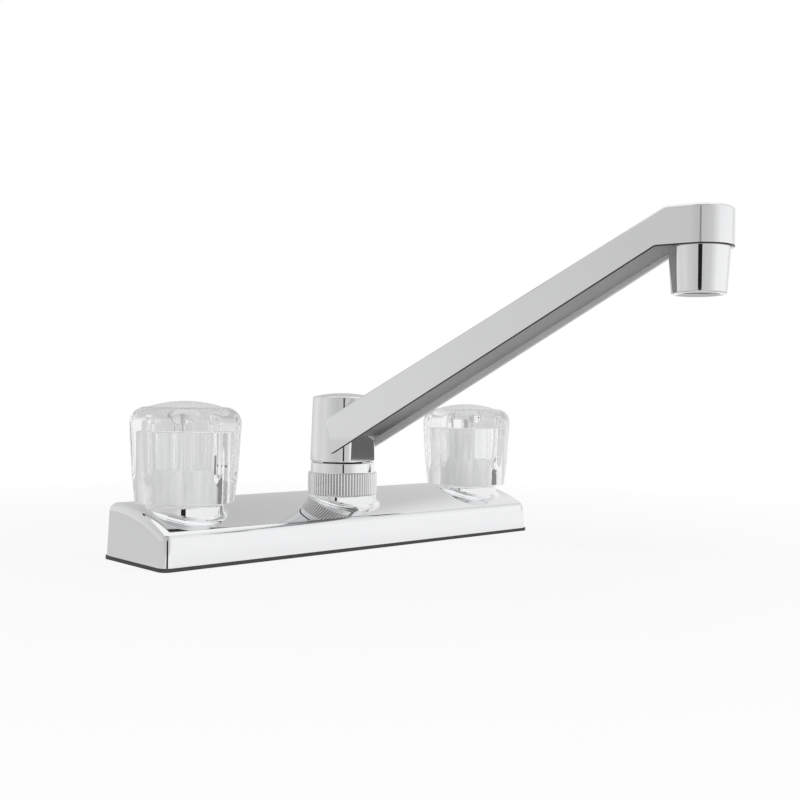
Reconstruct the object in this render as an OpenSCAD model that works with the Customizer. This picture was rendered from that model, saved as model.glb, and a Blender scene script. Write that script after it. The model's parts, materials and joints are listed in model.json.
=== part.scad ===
// Two handle kitchen faucet on 8 inch centres, with clear fluted knobs and a swivel spout.
// Millimetres, +Z up, X along the deck cover, -Y to the front.
// The origin is the spout's axis on the plane of the sink deck.

/* [Deck cover] */
// Distance between the two handle axes
handle_centres = 203.2; // [196:0.1:211]
// Distance from a handle axis to the end of the cover's foot
cover_overhang = 27.9; // [24:0.1:34]
// Width of the cover at its foot, front to back
cover_w = 58.2; // [55:0.2:64]
// How far the cover's middle lies behind the valve axes
cover_shift = 1.2; // [0:0.1:2.5]
// Height of the cover's crown and of its boss tops above the sink deck
crown_h = 28; // [27:0.1:31]
// Height of the cover's front edge above the sink deck, before it is rounded
front_h = 16.4; // [14:0.1:20]
// Lean of each side wall of the cover from foot to top
cover_draft = 0.9; // [0.2:0.1:1.5]
// Wall thickness of the cover
cover_wall = 2; // [1.6:0.1:2.3]
// Radius of the rounded edges round the cover's top
cover_edge_r = 4.3; // [3.2:0.1:4.8]
// Radius of the cover's upright corners
cover_corner_r = 4.2; // [3.4:0.1:6]
// Radius of the three raised bosses
boss_r = 19.2; // [18.8:0.1:20.4]
// Radius of the small fillet round each boss top
boss_edge_r = 0.8; // [0.4:0.1:1.2]
// Thickness of the gasket under the cover
gasket_t = 1.8; // [1.2:0.1:2.6]
// How far the gasket stands proud of the cover's foot
gasket_lip = 0.3; // [0:0.1:0.8]

/* [Knobs] */
// Radius of a knob at its widest, just under the shoulder
knob_r = 27.3; // [26:0.1:29]
// Radius of a knob where its flutes end
knob_waist_r = 26; // [25.2:0.1:27]
// Radius of a knob at its lower rim
knob_foot_r = 24.2; // [23:0.1:25]
// Height of a knob from its lower rim to the top of its dome
knob_h = 50; // [48:0.5:55]
// Gap between a boss top and the knob's lower rim
knob_lift = 1; // [0.6:0.1:2]
// Height of the leaning skirt above the lower rim
knob_skirt_h = 16; // [13:0.5:18]
// Height of the flutes' lower ends above the lower rim
flute_foot_h = 11; // [9:0.5:14]
// Radius of the rounded shoulder
knob_shoulder_r = 8.2; // [7:0.1:9]
// Number of flutes round a knob
knob_flutes = 10; // [8:1:12]
// Radius of the round cutter that makes a flute
flute_r = 6; // [5:0.1:7]
// Depth of a flute
flute_depth = 1.5; // [1:0.1:1.9]
// Radius of the hollow inside a knob
knob_hollow_r = 16; // [15.4:0.1:17]
// Height of the moulded core's wide drum above the lower rim
core_drum_h = 16.5; // [15:0.5:19]
// Radius of the core's narrow post
core_post_r = 7.5; // [7:0.1:9]
// Thickness of the web that the handle screw clamps
knob_web_t = 3.4; // [2.6:0.1:4]
// Radius of the domed index cap
cap_r = 18.5; // [16:0.1:19]
// Rise of the cap's dome
cap_rise = 3; // [2:0.1:3.6]

/* [Valves] */
// Radius over the thread of the supply shanks, a half inch straight pipe thread
shank_r = 10.48; // [10.2:0.01:10.6]
// Depth of the shanks below the sink deck
shank_drop = 52; // [46:0.5:66]
// Radius of the water way in a shank
shank_bore_r = 7.4; // [6.6:0.1:8]
// Radius of the valve barrel under the cover
barrel_r = 14; // [13.4:0.1:15]
// Radius of the threaded neck that passes through a boss
neck_r = 11; // [10.8:0.1:11.5]
// Outer radius of the cartridge
cartridge_r = 8.5; // [8.3:0.1:8.8]
// Radius of the ceramic discs
disc_r = 6.5; // [6.2:0.1:6.7]
// Thickness of each ceramic disc
disc_t = 2.5; // [2:0.1:2.8]
// Radius of the valve stem
stem_r = 4; // [3.8:0.1:4.3]
// Outer radius of the cross tubes
tube_r = 4.76; // [4.4:0.01:5]
// Wall thickness of the cross tubes
tube_wall = 0.8; // [0.6:0.1:1.2]

/* [Spout] */
// Swivel of the spout at rest, measured from straight forward
spout_turn = 14; // [-60:1:60]
// Reach from the swivel axis to the aerator's axis
spout_reach = 200; // [180:1:230]
// Height of the spout's flat tip above the sink deck
tip_top_h = 170.2; // [150:0.5:185]
// Height of the side wall at the tip
tip_side_h = 18.2; // [16:0.1:21]
// Height of the arm's side wall at the swivel axis
root_side_h = 22.1; // [20:0.1:24]
// Half of the arm's width at the hub
root_half_w = 17.6; // [16.8:0.1:17.8]
// Half of the arm's width at the tip, also the radius of its round end
tip_r = 15.5; // [15.2:0.1:16.5]
// Wall thickness of the spout
spout_wall = 1.4; // [1.1:0.1:1.6]
// Depth of the floor plate inside the arm at the hub
root_recess = 5.2; // [4:0.1:6]
// Depth of the floor plate inside the arm at the tip
tip_recess = 2.7; // [2:0.1:3.4]
// Radius of the hub at its foot
hub_foot_r = 18.3; // [18.1:0.1:19]
// Radius of the hub at its rim
hub_rim_r = 17.2; // [16.8:0.1:17.8]
// Height of the hub from its foot to its rim
hub_h = 36.2; // [35:0.1:40]
// Rise of the domed hub top over the rim
hub_dome_h = 2; // [1:0.1:3]
// Distance of the hub's flat front from the swivel axis
hub_flat = 13.7; // [13.2:0.1:14.6]
// Outer radius of the swivel tube
swivel_r = 11; // [10.6:0.1:11.2]
// Radius over the ribs of the spout nut
nut_r = 19.4; // [18.8:0.1:20.4]
// Height of the ribbed band of the spout nut
nut_band_h = 12.2; // [10:0.1:13]
// Number of ribs round the spout nut
nut_ribs = 74; // [48:2:90]

/* [Aerator] */
// Radius of the aerator housing at its top
aerator_top_r = 14; // [13.8:0.1:14]
// Radius of the aerator housing at its mouth
aerator_mouth_r = 12.5; // [12.2:0.1:13.4]
// Height of the aerator housing
aerator_h = 21.8; // [20:0.1:26]
// Radius over the thread of the outlet nipple
nipple_r = 11.9; // [11.6:0.1:12]

/* [Mounting] */
// Thickness of the sink deck that the washers are set for
sink_deck_t = 12; // [6:0.5:18]
// Radius of the mounting washers
washer_r = 21; // [18:0.5:24]
// Thickness of the mounting washers
washer_t = 1.6; // [1:0.1:2.5]
// Height of the mounting nuts
mount_nut_h = 14; // [10:0.5:16]
// Radius over the wings of the mounting nuts
mount_nut_r = 20; // [18.5:0.5:24]

/* [Hidden] */
$fn = 96;
// Radial clearance of a turning fit and of threads
fit_gap = 0.05;
// Clearance between pieces that turn past each other
run_gap = 0.3;
// Overrun of cuts past the faces that they open
over = 1;
// Side of which each valve lies: hot on the left, cold on the right
hot = -1;
cold = 1;

// Cover
cover_l = handle_centres + 2 * cover_overhang;
crown_back_share = 0.345;
crown_y = cover_w * crown_back_share;
top_run = crown_y + cover_w / 2;
top_drop = crown_h - front_h;
top_r = (top_run * top_run + top_drop * top_drop) / (2 * top_drop);
top_axis_h = crown_h - top_r;
fan_share = 1.4;
boss_hollow_r = boss_r - cover_wall;

// Valve stack, from the gasket upwards
flange_lip = 2.8;
flange_r = barrel_r + flange_lip;
flange_t = 2.5;
tail_h = 22;
relief_h = 2;
relief_depth = 0.9;
seat_h = 4.2;
seat_floor_t = 2;
seal_t = 2;
barrel_drop = 6.5;
barrel_top = crown_h - barrel_drop;
tube_cover = 1.5;
tube_z = barrel_top - tube_r - tube_cover;
tube_seat = 1.7;
socket_depth = 2;
gallery_half_h = 4;
gallery_wall = 3.5;
gallery_r = barrel_r - gallery_wall;
seat_z = gasket_t + seat_h;
fixed_disc_z = seat_z + seal_t;
disc_gap = 0.03;
rotor_z = fixed_disc_z + disc_t + disc_gap;
tongue_z = rotor_z + disc_t;
tongue_h = 3;
tongue_w = 3;
tongue_bite = 1;
collar_t = 2;
collar_gap = 0.1;
sleeve_drop = 0.9;
sleeve_top = barrel_top - sleeve_drop;
collar_z = sleeve_top - collar_t - fit_gap;
collar_r = disc_r - collar_gap;
cover_nut_t = 3.5;
cover_nut_r = 14.2;
neck_rise = 1.5;
neck_top = crown_h + cover_nut_t + neck_rise;
bonnet_hex_r = 9.8;
bonnet_hex_h = 5;
bonnet_top = neck_top + bonnet_hex_h;
bonnet_seal_r = 0.9;
bonnet_seal_rise = 1;
seat_port_r = 5;
window_half_w = 4;
window_half_h = 3;
key_w = 1.6;
key_out = 0.8;
stop_reach = 1.1;
stop_r = disc_r + stop_reach;
stop_half_a = 12;
stop_spare_a = 2;
handle_travel_a = 90;
port_a = 60;
port_in_share = 0.3;
port_out_share = 0.82;
stem_ring_r = 0.5;
stem_ring_drop = 6;
stem_ring_z = neck_top - stem_ring_drop;
journal_rise = 1;
journal_top = bonnet_top + journal_rise;

// Knob stack
knob_z = crown_h + knob_lift;
knob_top = knob_z + knob_h;
cap_rim_z = knob_top - cap_rise;
cap_edge_t = 1.5;
cap_seat_z = cap_rim_z - cap_edge_t;
shoulder_top = cap_rim_z;
shoulder_z = shoulder_top - knob_shoulder_r;
waist_z = knob_z + knob_skirt_h;
knob_rim_r = 0.6;
recess_r = 9;
recess_drop = 8;
recess_floor = cap_rim_z - recess_drop;
knob_ceiling = recess_floor - knob_web_t;
nut_room_gap = 0.6;
nut_room_r = cover_nut_r + nut_room_gap;
nut_room_rise = 2;
nut_room_top = crown_h + cover_nut_t + nut_room_rise;
core_lift = 0.5;
insert_z = knob_z + core_lift;
insert_room_gap = 1.8;
insert_room_r = bonnet_hex_r + insert_room_gap;
insert_room_rise = 1.5;
insert_room_top = bonnet_top + insert_room_rise;
broach_step = 0.1;
broach_r = stem_r - broach_step;
stem_drop = 6;
stem_top = knob_ceiling - stem_drop;
flute_lift_share = 0.65;
screw_r = 1.6;
screw_len = 18;
screw_head_r = 4;
screw_head_h = 2.6;
screw_slot_w = 1;
screw_slot_h = 1.2;
spigot_gap = 0.1;
spigot_r = recess_r - spigot_gap;
spigot_h = 2;
spigot_wall = 1.6;

// Spout post, nut and swivel
post_r = 15.5;
post_rise = 13;
post_top = crown_h + post_rise;
post_floor_t = 6;
post_floor = gasket_t + post_floor_t;
bearing_t = 1.4;
bearing_z = post_top;
snap_t = 1;
snap_z = bearing_z + bearing_t + fit_gap;
snap_bite = 1;
snap_groove_r = swivel_r - snap_bite;
snap_reach = 2.4;
snap_r = swivel_r + snap_reach;
snap_slot_w = 5;
nut_lip_z = snap_z + snap_t + 2 * fit_gap;
nut_lip_t = 2.1;
nut_lip_gap = 0.6;
nut_lip_r = swivel_r + nut_lip_gap;
nut_top = nut_lip_z + nut_lip_t;
nut_neck_wall = 2.6;
nut_neck_taper = 0.3;
nut_neck_r = post_r + nut_neck_wall;
nut_neck_top_r = nut_neck_r - nut_neck_taper;
rib_depth = 0.55;
rib_land_share = 0.3;
rib_rise_share = 0.2;
nut_chamfer = 0.5;
swivel_rise = 2;
swivel_bottom = tube_z + tube_r + swivel_rise;
swivel_wall = 3.6;
o_ring_r = 0.9;
o_ring_pitch = 6;
o_ring_rise = 3;
o_ring_z = swivel_bottom + o_ring_rise;
hub_gap = 0.6;
hub_z = nut_top + hub_gap;
hub_rim_z = hub_z + hub_h;
swivel_socket_h = 9;
swivel_top = hub_z + swivel_socket_h;
hub_chamber_r = 12;
hub_roof_t = 4;
hub_edge_r = 1;

// Arm, in the spout's own frame: X along the arm, Z up
root_lift = 1.5;
root_low_z = hub_z + root_lift;
root_top_z = root_low_z + root_side_h;
tip_rim_z = tip_top_h - tip_side_h;
low_bend_back = 16;
low_bend = spout_reach - low_bend_back;
top_bend_back = 11;
top_bend = spout_reach - top_bend_back;
top_slope_a = atan((tip_top_h - root_top_z) / top_bend);
top_wall_z = spout_wall / cos(top_slope_a);
arm_start = 1;
tip_end = spout_reach + tip_r;
plate_t = 1.2;
plate_root_z = root_low_z + root_recess;
plate_tip_z = tip_rim_z + tip_recess;
arm_half = hub_foot_r + over;
hub_open_share = 0.6;
hub_open_x = hub_chamber_r * hub_open_share;
hub_mouth_share = 0.8;
mouth_floor_gap = 1;
mouth_roof_gap = 4.2;

// Outlet and aerator
aerator_nest = 0.7;
aerator_top = tip_rim_z + aerator_nest;
aerator_mouth = aerator_top - aerator_h;
nipple_drop = 7.2;
nipple_bottom = aerator_top - nipple_drop;
nipple_wall = 2.3;
nipple_bore_r = nipple_r - nipple_wall;
nipple_lip = 1.2;
nipple_flange_r = nipple_r + nipple_lip;
nipple_flange_t = 1.2;
washer_ring_t = 2;
insert_flange_t = 1.5;
aerator_step = nipple_bottom - washer_ring_t - insert_flange_t;
insert_step = 1.4;
insert_r = nipple_r - insert_step;
mouth_step = 0.9;
mouth_r = insert_r - mouth_step;
mouth_lip_t = 2.6;
screen_t = 0.5;

// Places a valve's pieces on its side, turned over for the side on the right
module on_side(side) {
    translate([side * handle_centres / 2, 0, 0]) mirror([side == cold ? 1 : 0, 0, 0]) children();
}

// Places the spout's pieces from their own frame
module on_spout() {
    rotate([0, 0, spout_turn - 90]) children();
}

// A straight tube standing on z, with outer and inner radius
module tube(z, h, r_out, r_in) {
    translate([0, 0, z]) difference() {
        cylinder(r = r_out, h = h);
        translate([0, 0, -over]) cylinder(r = r_in, h = h + 2 * over);
    }
}

// A cylinder between two heights
module rod(z0, z1, r) {
    translate([0, 0, z0]) cylinder(r = r, h = z1 - z0);
}

// A round ring with a round section
module round_ring(z, r_mid, r_wire) {
    translate([0, 0, z]) rotate_extrude() translate([r_mid, 0]) circle(r = r_wire, $fn = 32);
}

// A wedge of angle a0 to a1 that reaches out to radius r
module wedge(a0, a1, r) {
    mid = (a0 + a1) / 2;
    far = 2 * r;
    polygon([[0, 0], [far * cos(a0), far * sin(a0)], [far * cos(mid), far * sin(mid)],
        [far * cos(a1), far * sin(a1)]]);
}

// A rectangle with round corners
module round_rect(l, w, r) {
    square([l - 2 * r, w], center = true);
    square([l, w - 2 * r], center = true);
    for (x = [-1, 1], y = [-1, 1]) translate([x * (l / 2 - r), y * (w / 2 - r)]) circle(r = r);
}

// Cross section of the cover, front to back, drawn inset from its outer face: the crown's arc ends
// where each rounded edge touches it, on the ray from the crown's axis through the edge's centre
module cover_section(inset, foot) {
    r = cover_edge_r - inset;
    half = cover_w / 2 - inset;
    arc = top_r - inset;
    y0 = -half + cover_draft + r;
    y1 = half - cover_draft - r;
    z0 = top_axis_h + sqrt(pow(arc - r, 2) - pow(y0 - crown_y, 2));
    z1 = top_axis_h + sqrt(pow(arc - r, 2) - pow(y1 - crown_y, 2));
    intersection() {
        translate([crown_y, top_axis_h]) circle(r = arc, $fn = 720);
        translate([crown_y, top_axis_h])
            polygon([[0, 0], fan_share * [y1 - crown_y, z1 - top_axis_h],
                fan_share * [y0 - crown_y, z0 - top_axis_h]]);
        translate([-cover_w, foot]) square([2 * cover_w, crown_h]);
    }
    polygon([[-half, foot], [half, foot], [y1 + r, z1], [y1, z1], [y0, z0], [y0 - r, z0]]);
    translate([y0, z0]) circle(r = r, $fn = 48);
    translate([y1, z1]) circle(r = r, $fn = 48);
}

// The cover's crowned top and rounded ends, turned about the axis of the crown
module cover_barrel(inset) {
    r = cover_edge_r - inset;
    half = cover_l / 2 - inset;
    arc = top_r - inset;
    deep = arc - crown_h - over;
    translate([0, crown_y, top_axis_h]) rotate([0, 90, 0]) rotate_extrude($fn = 360) {
        polygon([[deep, -half], [arc - r, -half + cover_draft], [arc - r, half - cover_draft],
            [deep, half]]);
        translate([deep, -half + cover_draft + r])
            square([arc - deep, 2 * (half - cover_draft - r)]);
        for (s = [-1, 1]) translate([arc - r, s * (half - cover_draft - r)]) circle(r = r, $fn = 48);
    }
}

// The cover's outer or inner form, from a foot height up
module cover_form(inset, foot) {
    translate([0, cover_shift, 0]) intersection() {
        translate([-cover_l, 0, 0]) rotate([90, 0, 90]) linear_extrude(2 * cover_l)
            cover_section(inset, foot);
        cover_barrel(inset);
        translate([0, 0, foot]) linear_extrude(crown_h)
            round_rect(cover_l - 2 * inset, cover_w - 2 * inset, cover_corner_r - inset);
    }
}

module boss_form(x, r, top, edge) {
    translate([x, 0, 0]) rotate_extrude() {
        translate([0, front_h - cover_edge_r * 2]) square([r, top - edge - front_h + cover_edge_r * 2]);
        square([r - edge, top]);
        translate([r - edge, top - edge]) circle(r = edge, $fn = 32);
    }
}

module deck_cover() {
    bosses = [-handle_centres / 2, 0, handle_centres / 2];
    holes = [neck_r + fit_gap, post_r + fit_gap, neck_r + fit_gap];
    color("silver") difference() {
        union() {
            cover_form(0, gasket_t);
            for (x = bosses) intersection() {
                boss_form(x, boss_r, crown_h, boss_edge_r);
                translate([x, 0, gasket_t + cover_wall]) cylinder(r = 2 * boss_r, h = crown_h);
            }
        }
        cover_form(cover_wall, gasket_t - over);
        for (x = bosses) translate([x, 0, gasket_t]) cylinder(r = boss_hollow_r,
            h = crown_h - cover_wall - gasket_t);
        for (i = [0:2]) translate([bosses[i], 0, 0]) cylinder(r = holes[i], h = crown_h + over);
    }
}

module deck_gasket() {
    color("dimgray") difference() {
        translate([0, cover_shift, 0]) linear_extrude(gasket_t)
            round_rect(cover_l + 2 * gasket_lip, cover_w + 2 * gasket_lip, cover_corner_r + gasket_lip);
        for (s = [-1, 1]) translate([s * handle_centres / 2, 0, -over])
            cylinder(r = shank_r + run_gap, h = gasket_t + 2 * over);
    }
}

// Valve body: shank below the deck, flange, barrel with its gallery, and threaded neck
module valve_body(side) {
    color("goldenrod") on_side(side) difference() {
        union() {
            rod(-shank_drop, gasket_t, shank_r);
            rod(gasket_t, gasket_t + flange_t, flange_r);
            rod(gasket_t, barrel_top, barrel_r);
            rod(barrel_top, neck_top, neck_r);
        }
        tube(tail_h - shank_drop, relief_h, 2 * shank_r, shank_r - relief_depth);
        rod(-shank_drop - over, seat_z - seat_floor_t, shank_bore_r);
        rod(-shank_drop, seat_z + over, seat_port_r);
        rod(seat_z, neck_top + over, cartridge_r + fit_gap);
        rod(tube_z - gallery_half_h, tube_z + gallery_half_h, gallery_r);
        translate([0, 0, tube_z]) rotate([0, 90, 0]) {
            rod(0, barrel_r + over, tube_r - tube_wall);
            rod(barrel_r - socket_depth, barrel_r + over, tube_r + fit_gap);
        }
    }
}

module cross_tube(side) {
    reach = handle_centres / 2 - barrel_r - post_r + 2 * tube_seat;
    color("peru") on_side(side) translate([barrel_r - tube_seat, 0, tube_z]) rotate([0, 90, 0])
        tube(0, reach, tube_r, tube_r - tube_wall);
}

module spout_post() {
    color("goldenrod") difference() {
        rod(gasket_t, post_top, post_r);
        rod(post_floor, post_top + over, swivel_r + fit_gap);
        for (s = [-1, 1]) translate([0, 0, tube_z]) rotate([0, s * 90, 0]) {
            rod(0, post_r + over, tube_r - tube_wall);
            rod(post_r - socket_depth, post_r + over, tube_r + fit_gap);
        }
    }
}

module cover_nuts() {
    color("silver") for (s = [-1, 1]) translate([s * handle_centres / 2, 0, crown_h]) difference() {
        cylinder(r = cover_nut_r, h = cover_nut_t, $fn = 6);
        translate([0, 0, -over]) cylinder(r = neck_r + fit_gap, h = cover_nut_t + 2 * over);
    }
}

module mounting_washers() {
    color("gainsboro") for (s = [-1, 1]) translate([s * handle_centres / 2, 0, 0])
        tube(-sink_deck_t - washer_t, washer_t, washer_r, shank_r + run_gap);
}

// Moulded nut with four wings for tightening by hand
module mounting_nuts() {
    z = -sink_deck_t - washer_t - mount_nut_h;
    wall = 5;
    body_r = shank_r + wall;
    wing_w = 5;
    foot_h = 4;
    foot_lip = 2;
    color("white") for (s = [-1, 1]) translate([s * handle_centres / 2, 0, z]) difference() {
        union() {
            linear_extrude(mount_nut_h) {
                circle(r = body_r);
                for (a = [45, 135]) rotate(a) square([2 * mount_nut_r, wing_w], center = true);
            }
            translate([0, 0, mount_nut_h - foot_h]) cylinder(r = body_r + foot_lip, h = foot_h);
        }
        rod(-over, mount_nut_h + over, shank_r + fit_gap);
    }
}

// Moulded cage that holds the two discs, with side windows and the travel stop's slot
module cartridge_sleeve(side) {
    color("ivory") on_side(side) difference() {
        rod(seat_z, sleeve_top, cartridge_r);
        rod(seat_z - over, sleeve_top + over, disc_r + fit_gap);
        translate([0, 0, tube_z]) cube([4 * cartridge_r, 2 * window_half_w, 2 * window_half_h],
            center = true);
        translate([-key_w / 2, 0, seat_z - over])
            cube([key_w, disc_r + key_out, seal_t + disc_t + over]);
        translate([0, 0, collar_z - fit_gap]) linear_extrude(collar_t + over) intersection() {
            circle(r = stop_r + fit_gap);
            wedge(-stop_half_a - stop_spare_a, handle_travel_a + stop_half_a + stop_spare_a, stop_r);
        }
    }
}

module seat_seal(side) {
    color("black") on_side(side) tube(seat_z, seal_t, disc_r, seat_port_r - fit_gap);
}

// Two opposite kidney ports of a ceramic disc
module disc_ports(reach) {
    for (a = [0, 180]) intersection() {
        difference() {
            circle(r = reach);
            circle(r = disc_r * port_in_share);
        }
        wedge(a - port_a / 2, a + port_a / 2, disc_r);
    }
}

module fixed_disc(side) {
    color("whitesmoke") on_side(side) translate([0, 0, fixed_disc_z]) linear_extrude(disc_t)
        difference() {
            union() {
                circle(r = disc_r);
                translate([-key_w / 2 + fit_gap, 0])
                    square([key_w - 2 * fit_gap, disc_r + key_out - fit_gap]);
            }
            disc_ports(disc_r * port_out_share);
        }
}

// Turning disc, a quarter turn away from the fixed disc's ports, so the valve rests shut
module rotor_disc(side) {
    slot_w = tongue_w + 2 * fit_gap;
    color("lightgray") on_side(side) difference() {
        translate([0, 0, rotor_z]) linear_extrude(disc_t) difference() {
            circle(r = disc_r);
            rotate(handle_travel_a) disc_ports(disc_r * port_out_share);
        }
        translate([-2 * disc_r, -slot_w / 2, tongue_z - tongue_bite])
            cube([4 * disc_r, slot_w, tongue_bite + over]);
    }
}

// Stem: drive tongue, collar with the stop lug, sealed shank and broached end
module stem(side) {
    color("goldenrod") on_side(side) difference() {
        union() {
            translate([0, 0, tongue_z - tongue_bite + fit_gap]) linear_extrude(tongue_h) intersection() {
                circle(r = collar_r);
                square([2 * disc_r, tongue_w], center = true);
            }
            rod(tongue_z + fit_gap, stem_top, stem_r);
            rod(collar_z, collar_z + collar_t, collar_r);
            translate([0, 0, collar_z]) linear_extrude(collar_t) intersection() {
                circle(r = stop_r - fit_gap);
                wedge(-stop_half_a, stop_half_a, stop_r);
            }
        }
        difference() {
            rod(journal_top, stem_top + over, 2 * stem_r);
            translate([0, 0, bonnet_top]) cylinder(r = broach_r, h = knob_h, $fn = 12);
        }
        tube(stem_ring_z - stem_ring_r - fit_gap, 2 * (stem_ring_r + fit_gap), 2 * stem_r,
            stem_r - 2 * stem_ring_r - fit_gap);
        rod(stem_top - screw_len, stem_top + over, screw_r + fit_gap);
    }
}

module stem_o_ring(side) {
    color("black") on_side(side) round_ring(stem_ring_z, stem_r - stem_ring_r - fit_gap / 2,
        stem_ring_r);
}

// Hexagonal bonnet that screws into the neck over the cartridge
module bonnet(side) {
    color("goldenrod") on_side(side) difference() {
        union() {
            rod(sleeve_top, neck_top, cartridge_r);
            translate([0, 0, neck_top]) cylinder(r = bonnet_hex_r, h = bonnet_hex_h, $fn = 6);
        }
        rod(sleeve_top - over, bonnet_top + over, stem_r + fit_gap);
        tube(barrel_top + bonnet_seal_rise, 2 * (bonnet_seal_r + fit_gap), 2 * cartridge_r,
            cartridge_r - 2 * bonnet_seal_r - fit_gap);
    }
}

module bonnet_seals() {
    z = barrel_top + bonnet_seal_rise + bonnet_seal_r + fit_gap;
    color("black") for (s = [-1, 1]) translate([s * handle_centres / 2, 0, 0])
        round_ring(z, cartridge_r - bonnet_seal_r, bonnet_seal_r);
}

// Outline of a knob from its axis outwards
module knob_outline() {
    core_r = knob_r - knob_shoulder_r;
    polygon([[0, knob_z], [knob_foot_r - knob_rim_r, knob_z], [knob_foot_r, knob_z + knob_rim_r],
        [knob_waist_r, waist_z], [knob_r, shoulder_z], [core_r, shoulder_z], [core_r, shoulder_top],
        [0, shoulder_top]]);
    translate([core_r, shoulder_z]) circle(r = knob_shoulder_r);
}

// One flute: a leaning round cutter with a ball end in the skirt
module flute() {
    lean = atan((knob_r - knob_waist_r) / (shoulder_z - waist_z));
    start = flute_foot_h - knob_skirt_h + flute_r * flute_lift_share;
    translate([knob_waist_r - flute_depth + flute_r, 0, waist_z]) rotate([0, lean, 0]) {
        translate([0, 0, start]) cylinder(r = flute_r, h = knob_h);
        translate([0, 0, start]) sphere(r = flute_r);
    }
}

module knob(side) {
    step_a = 360 / knob_flutes;
    color("azure", 0.4) on_side(side) difference() {
        rotate_extrude() knob_outline();
        for (i = [0:knob_flutes - 1]) rotate([0, 0, (i + 0.5) * step_a]) flute();
        rod(knob_z - over, knob_ceiling, knob_hollow_r);
        rod(knob_z, knob_top, screw_r + run_gap);
        rod(recess_floor, knob_top, recess_r);
        rod(cap_seat_z, knob_top, cap_r + fit_gap);
    }
}

// Moulded core: a drum over the cover nut and a post that carries the knob on the stem
module knob_insert(side) {
    color("white") on_side(side) difference() {
        union() {
            rod(insert_z, knob_z + core_drum_h, knob_hollow_r - fit_gap);
            rod(insert_z, knob_ceiling, core_post_r);
        }
        rod(insert_z - over, nut_room_top, nut_room_r);
        rod(insert_z, insert_room_top, insert_room_r);
        translate([0, 0, insert_z]) cylinder(r = broach_r + fit_gap, h = stem_top + fit_gap - insert_z,
            $fn = 12);
        rod(insert_z, knob_ceiling + over, screw_r + run_gap);
    }
}

// Domed clear cap with a ring that snaps into the knob's recess
module index_cap(side) {
    dome_r = (cap_r * cap_r + cap_rise * cap_rise) / (2 * cap_rise);
    color("azure", 0.5) on_side(side)
        rotate_extrude() {
            intersection() {
                translate([0, knob_top - dome_r]) circle(r = dome_r, $fn = 360);
                translate([0, cap_seat_z]) square([cap_r, cap_edge_t + cap_rise]);
            }
            translate([spigot_r - spigot_wall, cap_seat_z - spigot_h])
                square([spigot_wall, spigot_h + cap_edge_t]);
        }
}

module handle_screw(side) {
    color("lightgray") on_side(side) difference() {
        union() {
            rod(recess_floor, recess_floor + screw_head_h, screw_head_r);
            rod(recess_floor - screw_len, recess_floor, screw_r);
        }
        for (a = [0, 90]) translate([0, 0, recess_floor + screw_head_h]) rotate([0, 0, a])
            cube([screw_head_r, screw_slot_w, 2 * screw_slot_h], center = true);
    }
}

module spout_bearing_ring() {
    color("ivory") tube(bearing_z, bearing_t, post_r - fit_gap, swivel_r + run_gap);
}

// Ribbed outline of the spout nut, one rib and one groove to a step
module rib_outline() {
    step_a = 360 / nut_ribs;
    low = nut_r - rib_depth;
    polygon([for (i = [0:nut_ribs - 1], k = [0:3])
        let (a = (i + [0, rib_land_share, rib_land_share + rib_rise_share, 1 - rib_rise_share][k]) * step_a,
            r = k < 2 ? nut_r : low)
        [r * cos(a), r * sin(a)]]);
}

module spout_nut() {
    band_top = crown_h + nut_band_h;
    color("silver") difference() {
        union() {
            intersection() {
                translate([0, 0, crown_h]) linear_extrude(nut_band_h) rib_outline();
                rotate_extrude() polygon([[0, crown_h], [nut_r - nut_chamfer, crown_h],
                    [nut_r, crown_h + nut_chamfer], [nut_r, band_top - nut_chamfer],
                    [nut_r - nut_chamfer, band_top], [0, band_top]]);
            }
            rotate_extrude() polygon([[0, crown_h + over], [nut_neck_r, crown_h + over],
                [nut_neck_r, band_top], [nut_neck_top_r, nut_top - nut_chamfer],
                [nut_neck_top_r - nut_chamfer, nut_top], [0, nut_top]]);
        }
        rod(crown_h - over, nut_lip_z, post_r + fit_gap);
        rod(crown_h, nut_top + over, nut_lip_r);
    }
}

// Height of a line through two points at a distance along the arm
function line_z(p, q, x) = p[1] + (q[1] - p[1]) * (x - p[0]) / (q[0] - p[0]);

low_a = [0, root_low_z];
low_b = [low_bend, tip_rim_z];
top_a = [0, root_top_z];
top_b = [top_bend, tip_top_h];
plate_a = [0, plate_root_z];
plate_b = [low_bend, plate_tip_z];

// Side view of the arm's outside
module arm_side() {
    polygon([[arm_start, line_z(low_a, low_b, arm_start)], low_b, [tip_end, tip_rim_z],
        [tip_end, tip_top_h], top_b, [arm_start, line_z(top_a, top_b, arm_start)]]);
}

// Plan of the arm, inset from its outside, with its round end
module arm_plan(inset, start) {
    root = root_half_w - inset;
    tip = tip_r - inset;
    polygon([[start, -root], [spout_reach, -tip], [spout_reach, tip], [start, root]]);
    translate([spout_reach, 0]) circle(r = tip);
}

// A shape drawn in the side view, carried across the arm
module across_arm(half) {
    translate([0, half, 0]) rotate([90, 0, 0]) linear_extrude(2 * half) children();
}

// Side view of the hollow between the side walls, open below, in front of the hub's flat
module arm_hollow_side() {
    x1 = tip_end - spout_wall;
    polygon([[hub_flat, hub_z - over], [arm_half, hub_z - over], [low_bend, tip_rim_z - tip_side_h],
        [x1, tip_rim_z - tip_side_h],
        [x1, tip_top_h - spout_wall], [top_bend - spout_wall / 2, tip_top_h - spout_wall],
        [hub_flat, line_z(top_a, top_b, hub_flat) - top_wall_z]]);
}

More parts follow.
